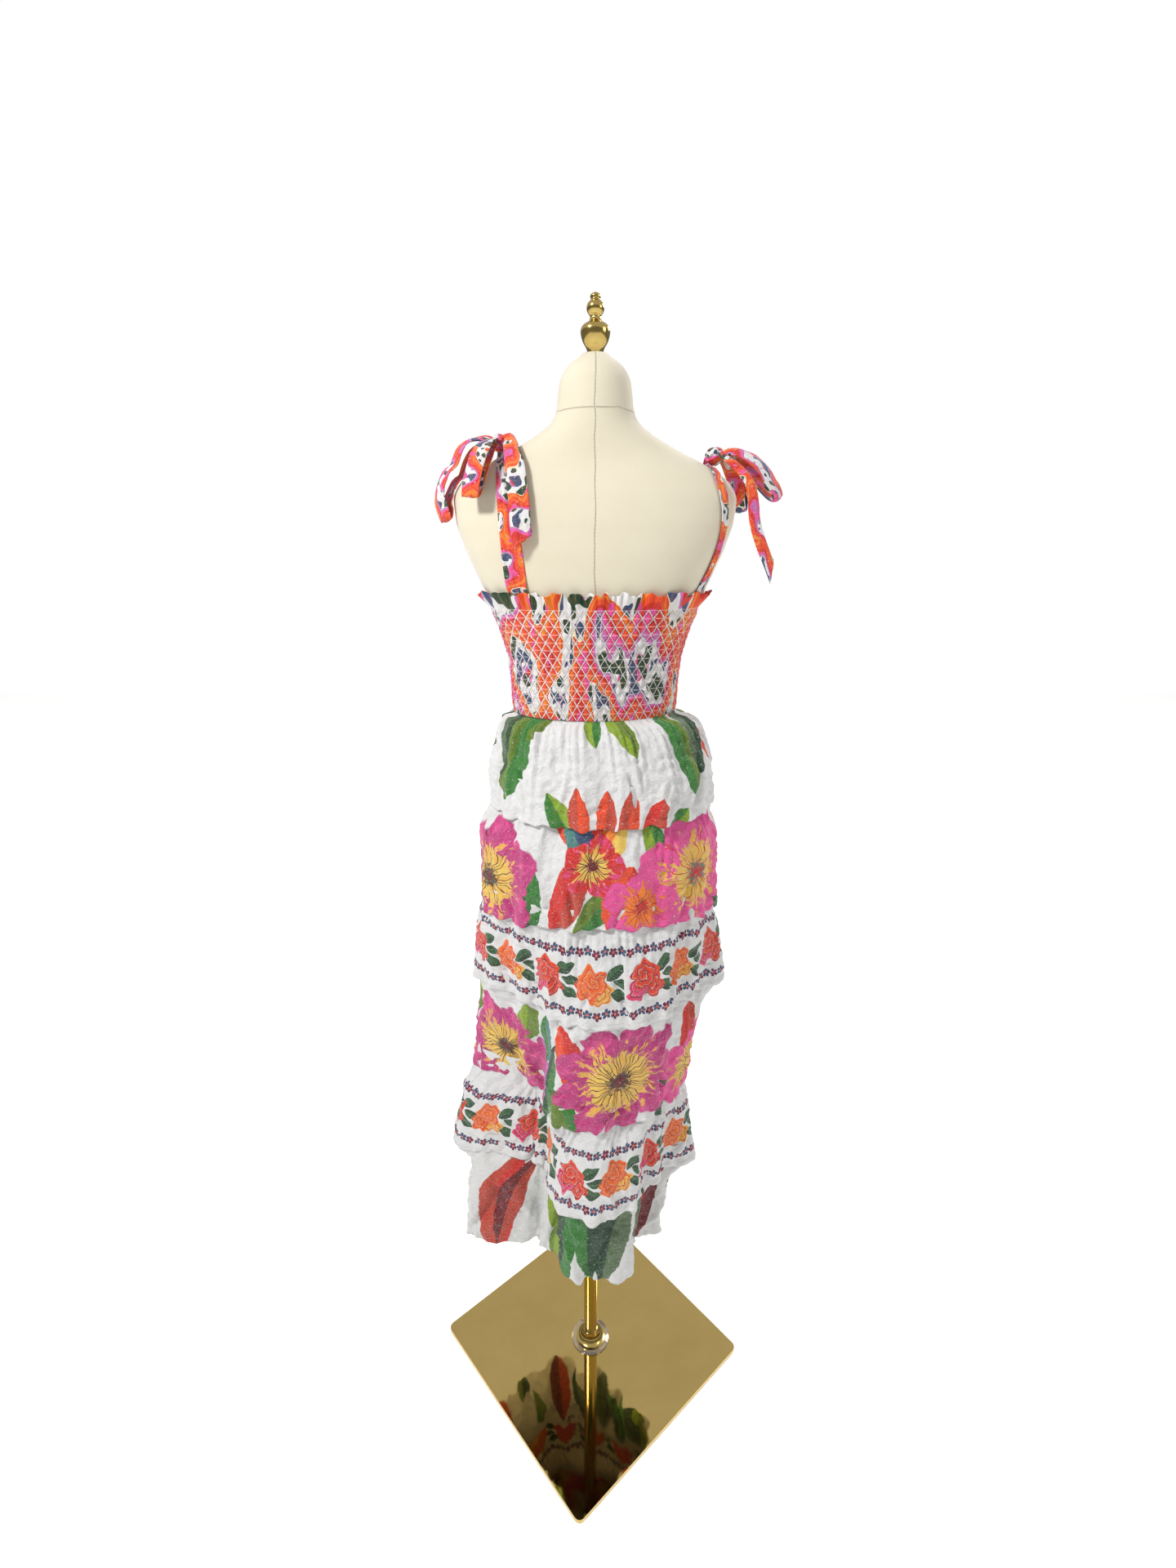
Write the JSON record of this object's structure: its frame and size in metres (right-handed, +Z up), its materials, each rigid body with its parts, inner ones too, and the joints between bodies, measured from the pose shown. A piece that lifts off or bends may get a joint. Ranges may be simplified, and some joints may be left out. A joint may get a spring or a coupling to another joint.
{
  "type": "tiered midi dress on a limbless dress form",
  "caption": "Sleeveless tiered midi dress with a smocked bodice and shoulder straps tied in bows, worn by a limbless dress form on a pole with a square base plate.",
  "frame": {"origin": "centre of the base plate's underside, on the floor", "axes": "+Z up along the pole; the dress's back faces -Y and its front faces +Y; +X is the wearer's right-hand side as seen from behind"},
  "size_m": [0.5278, 0.5278, 1.6817],
  "materials": {
    "mirror_gold": "polished gold mirror",
    "brass": "polished",
    "form_jersey": "cream jersey over padding",
    "smocked_print": "printed cotton, smocked with white thread",
    "bold_print": "printed cotton voile with small raised dots",
    "border_print": "cotton voile with a flower border print"
  },
  "bodies": {
    "root": {"base_plate": "mirror_gold", "pole": "brass", "pole_collar": "brass", "form_torso": "form_jersey", "finial": "brass", "bodice_back": "smocked_print", "bodice_front": "smocked_print", "tier_1_back": "bold_print", "tier_1_front": "bold_print", "tier_2_back": "bold_print", "tier_2_front": "bold_print", "tier_3_back": "border_print", "tier_3_front": "border_print", "tier_4_back": "bold_print", "tier_4_front": "bold_print", "tier_5_back": "border_print", "tier_5_front": "border_print", "tier_6_back": "bold_print", "tier_6_front": "bold_print", "strap_back_left": "smocked_print", "strap_front_left": "smocked_print", "knot_left": "smocked_print", "loop_a_left": "smocked_print", "loop_b_left": "smocked_print", "tail_a_left": "smocked_print", "tail_b_left": "smocked_print", "strap_back_right": "smocked_print", "strap_front_right": "smocked_print", "knot_right": "smocked_print", "loop_a_right": "smocked_print", "loop_b_right": "smocked_print", "tail_a_right": "smocked_print", "tail_b_right": "smocked_print"}
  },
  "joints": []
}
